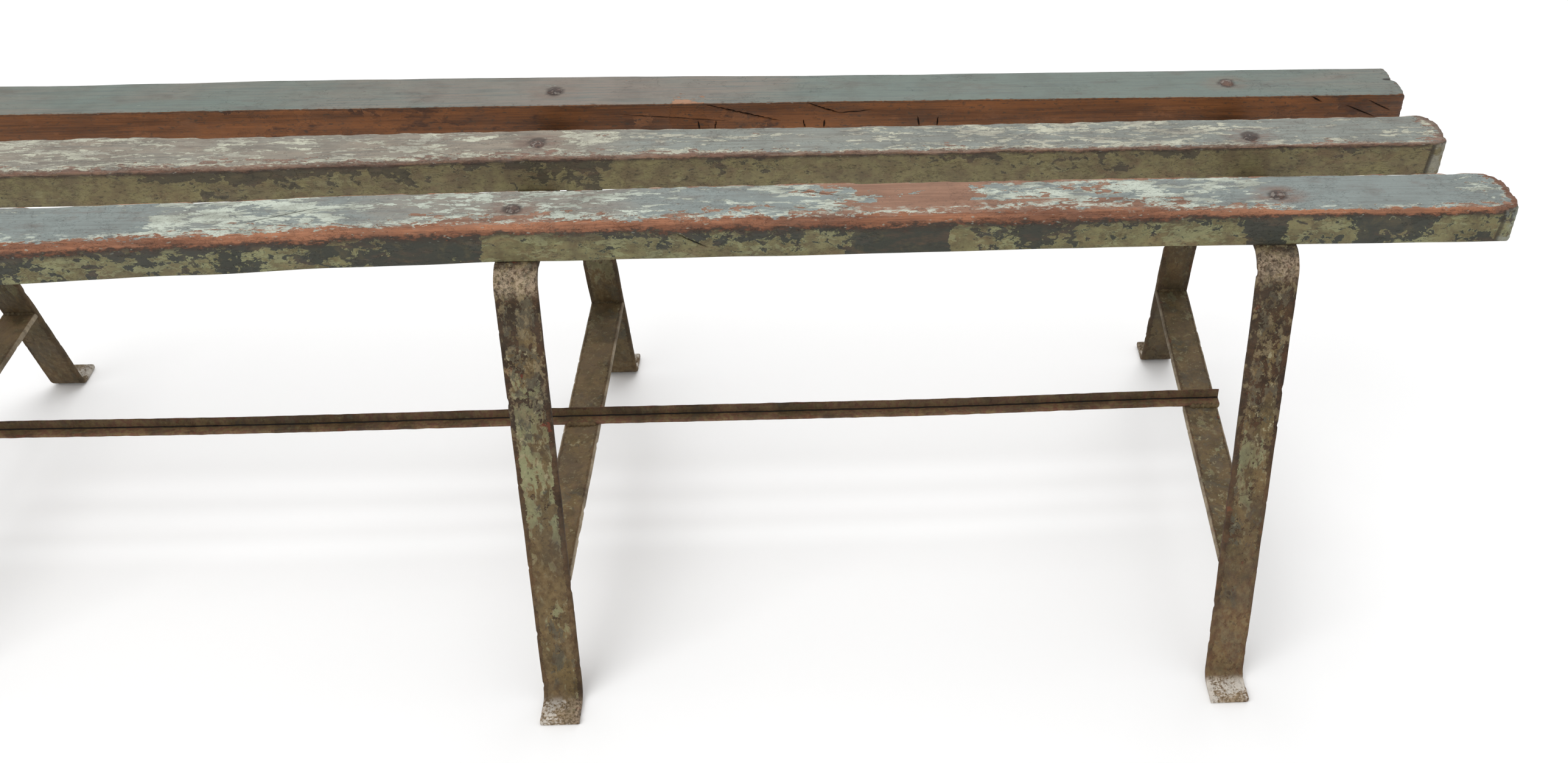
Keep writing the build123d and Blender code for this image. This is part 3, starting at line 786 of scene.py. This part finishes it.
# Splits in each board: start and finish as (X, Y, Z) within the board, facing, width and depth.
FACE_FRONT, FACE_TOP = (0, -1, 0), (0, 0, 1)
REAR_FACE = -0.0245
SPLITS = {
    "front": (
        ((0.180, 0.026, 0.032), (0.255, 0.006, 0.032), FACE_TOP, 0.0012, 0.0012),
        ((-0.235, -0.006, 0.032), (-0.170, 0.014, 0.032), FACE_TOP, 0.0014, 0.0012),
        ((0.110, -0.0285, 0.024), (0.135, -0.0285, 0.010), FACE_FRONT, 0.0016, 0.0016),
    ),
    "middle": (),
    "rear": [
        ((x0, REAR_FACE, z0), (x1, REAR_FACE, z1), FACE_FRONT, width, depth)
        for x0, z0, x1, z1, width, depth in (
            (0.160, 0.031, 0.228, 0.013, 0.0022, 0.0024), (0.252, 0.031, 0.282, 0.020, 0.0022, 0.0022),
            (0.278, 0.020, 0.312, 0.023, 0.0016, 0.0016), (0.080, 0.022, 0.180, 0.014, 0.0012, 0.0012),
            (0.154, 0.014, 0.155, 0.005, 0.0020, 0.0015), (0.170, 0.014, 0.169, 0.005, 0.0020, 0.0015),
            (0.249, 0.014, 0.250, 0.005, 0.0020, 0.0015), (0.268, 0.014, 0.267, 0.005, 0.0020, 0.0015),
            (0.352, 0.016, 0.354, 0.005, 0.0020, 0.0015), (0.371, 0.015, 0.370, 0.005, 0.0020, 0.0015),
            (0.711, 0.031, 0.722, 0.025, 0.0022, 0.0016), (0.716, 0.003, 0.746, 0.006, 0.0024, 0.0016),
            (0.744, 0.022, 0.774, 0.009, 0.0016, 0.0014), (0.764, 0.027, 0.788, 0.015, 0.0018, 0.0014),
        )
    ],
}


# ------------------------------------------------------------------ leg irons
def frame_path():
    """Middle line of a leg iron in the YZ plane: straight runs and arcs, foot to foot."""
    lean = tan(SPLAY)
    skew = IRON / 2 * sqrt(1 + lean * lean)
    turn = pi / 2 - SPLAY
    foot_r, top_r = FOOT_BEND + IRON / 2, TOP_BEND - IRON / 2
    low_z, high_z = IRON / 2, RAIL_TOP - IRON / 2
    low_y = RAIL_CORNER + (RAIL_TOP - low_z) * lean - skew
    high_y = RAIL_CORNER + (RAIL_TOP - high_z) * lean - skew
    foot_cut, top_cut = foot_r * tan(turn / 2), top_r * tan(turn / 2)
    leg = sqrt((low_y - high_y) ** 2 + (high_z - low_z) ** 2)
    foot, shin = FOOT_END - low_y - foot_cut, leg - foot_cut - top_cut
    return [
        ("run", foot, 0), ("arc", foot_r, turn), ("run", shin, 0), ("arc", top_r, -turn),
        ("run", 2 * (high_y - top_cut), 0),
        ("arc", top_r, -turn), ("run", shin, 0), ("arc", foot_r, turn), ("run", foot, 0),
    ]


def path_length(path):
    """Length of a path along its middle line."""
    return sum(size if kind == "run" else size * abs(turn) for kind, size, turn in path)


def follow(path, start, s):
    """Point and heading after s metres of the path, from a start heading along +Y."""
    at, heading = Vector(start), 0.0
    for kind, size, turn in path:
        length = size if kind == "run" else size * abs(turn)
        used = min(s, length)
        if kind == "run":
            at = at + Vector((cos(heading), sin(heading))) * used
        else:
            way = 1 if turn > 0 else -1
            centre = at + Vector((-sin(heading), cos(heading))) * size * way
            swept = used / size * way
            spoke = at - centre
            at = centre + Vector((spoke.x * cos(swept) - spoke.y * sin(swept),
                                  spoke.x * sin(swept) + spoke.y * cos(swept)))
            heading += swept
        s -= used
        if s <= 0:
            break
    return at, heading


def knocked(side, y, z):
    """How far a leg iron's point at (y, z) is out of true, along X and Y."""
    foot, head = LEAN[side]["front" if y < 0 else "back"]
    if abs(y) < RAIL_CORNER * 0.9 and z > RAIL_TOP * 0.9:
        t = (y / RAIL_CORNER + 1) / 2
        return LEAN[side]["front"][1] * (1 - t) + LEAN[side]["back"][1] * t, 0.0
    k = z / RAIL_TOP
    spread = SPREAD[side][0 if y < 0 else 1]
    return foot * (1 - k) + head * k, spread * (1 - k)


def iron_strip(length, cells, seed):
    """A flat bar along X with rounded, pitted edges, before it is bent."""
    bm = board(length, STRIP, IRON, cells)
    edge = bm.verts.layers.float.new("edge")
    for name in ("scuff", "toe", "painted_shade"):
        bm.verts.layers.float.new(name)
    for v in bm.verts:
        x, y, z = v.co
        y = crowd(y, STRIP / 2, 0.25)
        side, face = STRIP / 2 - abs(y), min(z, IRON - z)
        round_off = EDGE_ROUND * (1 + 0.5 * lumps(x, y, z, 0.02, seed))
        v[edge] = exp(-((side / 0.0045) ** 2))
        side, face = ease(side, face, round_off, round_off)
        nick = step(0.30, 0.62, lumps(x, y * 0.2, z, 0.007, seed + 4)) * exp(-((side / 0.002) ** 2))
        pit = step(0.25, 0.6, lumps(x, y, z * 3, 0.005, seed + 8))
        side += 0.0009 * nick + 0.0003 * lumps(x, 0, y, 0.03, seed)
        face += 0.00025 * pit + 0.0001 * lumps(x, y, z, 0.0035, seed)
        v.co = (x, (1 if y > 0 else -1) * (STRIP / 2 - side), face if z < IRON / 2 else IRON - face)
    return bm


# How each iron has worn: dust, share of sage coat, share of rust and colour of the soil on it.
BROWN_SOIL, RED_SOIL = (0.145, 0.086, 0.039), (0.160, 0.088, 0.044)
LEG_WEAR = {"left": (0.35, 0.38, 0.34, BROWN_SOIL), "middle": (0.25, 0.42, 0.34, BROWN_SOIL),
            "right": (0.32, 0.28, 0.39, RED_SOIL)}
PALE_SOIL = (0.205, 0.132, 0.070)
CROSSBAR_WEAR = {"left": (0.60, 0.30, 0.26, PALE_SOIL), "middle": (0.42, 0.38, 0.26, PALE_SOIL),
                 "right": (0.22, 0.46, 0.26, PALE_SOIL)}


def make_leg_iron(side):
    """A flat bar bent into a rail on two splayed legs with turned-out feet."""
    path = frame_path()
    length = path_length(path)
    seed = 31.7 * (SIDES.index(side) + 1)
    bm = iron_strip(length, LEG_CELLS, seed)
    scuff, toe = bm.verts.layers.float["scuff"], bm.verts.layers.float["toe"]
    start = (-FOOT_END, IRON / 2)
    foot_run = path[0][1] + FOOT_BEND
    for v in bm.verts:
        s, across, lift = v.co.x + length / 2, v.co.y, v.co.z - IRON / 2
        at, heading = follow(path, start, s)
        y = at.x - sin(heading) * lift
        z = at.y + cos(heading) * lift
        push_x, push_y = knocked(side, y, z)
        from_end = min(s, length - s)
        bend = abs(abs(s - length / 2) - RAIL_CORNER)
        v[toe] = step(foot_run, foot_run * 0.6, from_end)
        v[scuff] = max(0.7 * v[toe], 0.8 * step(0.016, 0.004, bend) * step(-0.001, 0.002, lift))
        v.co = (FRAME_X[side] + across + push_x, y + push_y, max(z, 0.0))
    material = painted_iron(f"iron_{side}_legs", (seed, 1.0, 2.0), *LEG_WEAR[side])
    return piece(bm, f"leg_iron_{side}", material, "painted_iron", f"leg_frame_{side}")


def make_crossbar(side):
    """A flat bar between the two legs, its ends cut to their slope."""
    low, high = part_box(f"crossbar_{side}")
    length = high.y - low.y
    seed = 11.1 * (SIDES.index(side) + 3)
    bm = iron_strip(length, CROSSBAR_CELLS, seed)
    slope = tan(SPLAY)
    for v in bm.verts:
        along_y, across, z = v.co
        if abs(along_y) > length / 2 - 1e-4:
            along_y -= (1 if along_y > 0 else -1) * z * slope
        at = Vector((FRAME_X[side] - across, along_y, low.z + z))
        sides = knocked(side, -1, at.z)[0], knocked(side, 1, at.z)[0]
        t = at.y / length + 0.5
        at.x += sides[0] * (1 - t) + sides[1] * t
        v.co = at
    material = painted_iron(f"iron_{side}_crossbar", (seed, 4.0, 3.0), *CROSSBAR_WEAR[side],
                            red=0.62, calm=0.9, glint=0.8)
    return piece(bm, f"crossbar_iron_{side}", material, "painted_iron", f"crossbar_{side}")


# ------------------------------------------------------------------ stretcher
STRETCHER_WALL = 0.003
STRETCHER_CELLS = (420, 22, 3)


def make_stretcher():
    """Small angle iron: a flat bar folded along its length."""
    low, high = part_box("stretcher")
    length, depth, height = high - low
    wall = STRETCHER_WALL
    flat = depth + height - wall
    bm = board(length, flat, wall, STRETCHER_CELLS)
    edge = bm.verts.layers.float.new("edge")
    for name in ("scuff", "toe"):
        bm.verts.layers.float.new(name)
    painted_shade = bm.verts.layers.float.new("painted_shade")
    fold = depth - wall
    for v in bm.verts:
        x, y, z = v.co
        u = y + flat / 2
        rim, face = min(u, flat - u), min(z, wall - z)
        v[edge] = exp(-((rim / 0.003) ** 2)) * 0.8
        rim, face = ease(rim, face, 0.0009, 0.0009)
        u = rim if u < flat / 2 else flat - rim
        z = face if z < wall / 2 else wall - face
        wobble = 0.00035 * lumps(x, y, z, 0.012, 3.0)
        if u < fold:
            at = Vector((x, low.y + u, low.z + z))
        else:
            # past the fold the bar stands up
            at = Vector((x, low.y + fold + wall - z, low.z + z + u - fold))
        # painted shade: a dark line in the inner corner of the fold, and the standing face darkened
        corner = Vector((0, at.y - (low.y + fold), at.z - (low.z + wall)))
        shadow = 0.46 * step(0.0, 0.002, u - fold)
        v[painted_shade] = max(exp(-((corner.length / 0.0014) ** 2)), shadow)
        push = along(STRETCHER_BOW, x)
        v.co = at + Vector((0, push + wobble, wobble * 0.6))
    material = painted_iron("iron_stretcher", (7.0, 9.0, 1.0), 0.80, 0.15, 0.34, (0.175, 0.088, 0.054),
                            red=0.54)
    return piece(bm, "stretcher_iron", material, "painted_iron", "stretcher")


# --------------------------------------------------------------- weld beads
BEAD_RADIUS = 0.003


def make_welds(side, material):
    """Lumpy beads along each corner that is welded."""
    low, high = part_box(f"weld_beads_{side}")
    bar_low, bar_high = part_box(f"crossbar_{side}")
    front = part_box("stretcher")[0].y
    length = high.x - low.x
    bm = bmesh.new()
    for layer in ("edge", "scuff", "toe", "painted_shade"):
        bm.verts.layers.float.new(layer)
    half_top = bar_high.y - (bar_high.z - bar_low.z) * tan(SPLAY)
    corners = [(sign * half_top, bar_high.z) for sign in (-1, 1)]
    corners += [(sign * bar_high.y, bar_low.z) for sign in (-1, 1)]
    corners += [(front + along(STRETCHER_BOW, FRAME_X[side]), bar_high.z + 0.0006)]
    for number, (y, z) in enumerate(corners):
        bead = bmesh.ops.create_uvsphere(bm, u_segments=14, v_segments=40, radius=1.0)
        shove = knocked(side, y, z)[0] if number < 4 else 0.0
        for v in bead["verts"]:
            spin = Vector((v.co.x, v.co.y))
            if spin.length > 1e-6:
                spin.normalize()
            t = max(-1.0, min(1.0, v.co.z))
            x = length / 2 * (1 if t > 0 else -1) * abs(t) ** 1.15
            ripple = BEAD_RADIUS * (1 + 0.16 * sin(x * 1300 + number) + 0.35 * lumps(x, number, 0, 0.006))
            ripple *= sqrt(max(0.0, 1 - abs(t) ** 8))
            v.co = (FRAME_X[side] + shove + x, y + spin.x * ripple, z + spin.y * ripple * 0.9)
    return piece(bm, f"welds_{side}", material, "painted_iron", f"weld_beads_{side}")


# ------------------------------------------------------------------- bolts
HEAD_HEIGHT = 0.003
SHANK_RADIUS = 0.003


def make_bolt(side, slat, material):
    """Coach bolt: a hammered dome head over its neck, shank and nut end."""
    node = f"coach_bolt_{side}_{slat}"
    low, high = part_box(node)
    centre = (low + high) / 2
    slip = Vector((*BOLT_SLIP.get((side, slat), (0.0, 0.0)), 0.0))
    seat = high.z - HEAD_HEIGHT
    radius = (high.x - low.x) / 2
    shank = SHANK_RADIUS
    profile = [(0.0, high.z), (radius * 0.42, high.z - 0.0004), (radius * 0.74, high.z - 0.0012),
               (radius * 0.95, seat + 0.0008), (radius, seat), (shank, seat),
               (shank, low.z + 0.0006), (shank * 0.75, low.z), (0.0, low.z)]
    bm = bmesh.new()
    line = [bm.verts.new((r, 0, z)) for r, z in profile]
    edges = [bm.edges.new(pair) for pair in zip(line, line[1:])]
    bmesh.ops.spin(bm, geom=line + edges, cent=(0, 0, 0), axis=(0, 0, 1), angle=2 * pi, steps=28,
                   use_merge=True)
    bmesh.ops.remove_doubles(bm, verts=bm.verts, dist=1e-6)
    seed = 5.3 * SIDES.index(side) + 2.1 * SLATS.index(slat)
    for v in bm.verts:
        if v.co.z > seat - 1e-6:
            spread = 1 + 0.10 * lumps(v.co.x, v.co.y, 0, 0.006, seed)
            v.co.x *= spread
            v.co.y *= spread
            v.co.z += 0.0004 * lumps(v.co.x, v.co.y, 1, 0.003, seed)
    shift = Vector((centre.x, centre.y, 0)) + slip + Vector((0, bowed(slat, centre.x), 0))
    bmesh.ops.translate(bm, vec=shift, verts=bm.verts)
    return piece(bm, f"bolt_{side}_{slat}", material, "bolt_steel", node)


# ================================================================= build it
for slat in SLATS:
    make_slat(slat)

steel = old_steel("bolt_steel", (0.3, 0.1, 0.7))
bead_paint = painted_iron("iron_weld_beads", (2.0, 5.0, 8.0), 0.45, 0.2, 0.45)
for side in SIDES:
    make_leg_iron(side)
    make_crossbar(side)
    make_welds(side, bead_paint)
    for slat in SLATS:
        make_bolt(side, slat, steel)
make_stretcher()

for name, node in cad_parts.items():
    if name.startswith(("nut", "washer")):
        node.data.materials.clear()
        node.data.materials.append(steel)


# ============================================================ floor and light
def make_floor():
    """A plain white floor just under the feet."""
    bm = bmesh.new()
    bmesh.ops.create_grid(bm, x_segments=1, y_segments=1, size=12)
    mesh = bpy.data.meshes.new("studio_floor")
    bm.to_mesh(mesh)
    bm.free()
    floor = bpy.data.objects.new("studio_floor", mesh)
    floor.location.z = -0.0005
    bpy.context.collection.objects.link(floor)
    material, _, shader, _ = new_material("studio_floor_white")
    shader.inputs["Base Color"].default_value = (0.92, 0.92, 0.92, 1)
    shader.inputs["Roughness"].default_value = 0.9
    mesh.materials.append(material)


def make_light(name, place, aim, size, power):
    """A square lamp that shines from a place towards an aim."""
    data = bpy.data.lights.new(name, "AREA")
    data.size = size
    data.energy = power
    lamp = bpy.data.objects.new(name, data)
    lamp.location = place
    lamp.rotation_euler = (Vector(aim) - Vector(place)).to_track_quat("-Z", "Y").to_euler()
    bpy.context.collection.objects.link(lamp)


def make_sky(strength):
    """Even white light from all round."""
    world = bpy.data.worlds.new("soft_white")
    world.use_nodes = True
    world.node_tree.nodes["Background"].inputs[0].default_value = (1.0, 1.0, 1.0, 1)
    world.node_tree.nodes["Background"].inputs[1].default_value = strength
    bpy.context.scene.world = world


make_floor()
make_sky(0.75)
make_light("key", (-1.2, -1.6, 3.2), (0.2, 0, 0.3), 2.5, 60)
make_light("top", (0.5, 1.6, 3.0), (0.1, 0, 0.4), 3.0, 45)
bpy.context.scene.view_settings.view_transform = "Standard"


# ================================================================== camera
CAMERA_AT = (0.2737, -1.1649, 1.1189)
PITCH = radians(39.145)  # below the horizon
YAW = radians(3.44)  # towards +X
ROLL = radians(0.833)
data = bpy.data.cameras.new("camera")
data.sensor_width = 36.0
data.lens = 35.35
data.shift_x = -0.0937
data.clip_start = 0.05
camera = bpy.data.objects.new("camera", data)
aim = (Matrix.Rotation(-YAW, 4, "Z") @ Matrix.Rotation(pi / 2 - PITCH, 4, "X")
       @ Matrix.Rotation(ROLL, 4, "Z"))
camera.matrix_world = Matrix.Translation(CAMERA_AT) @ aim
bpy.context.collection.objects.link(camera)
bpy.context.scene.camera = camera
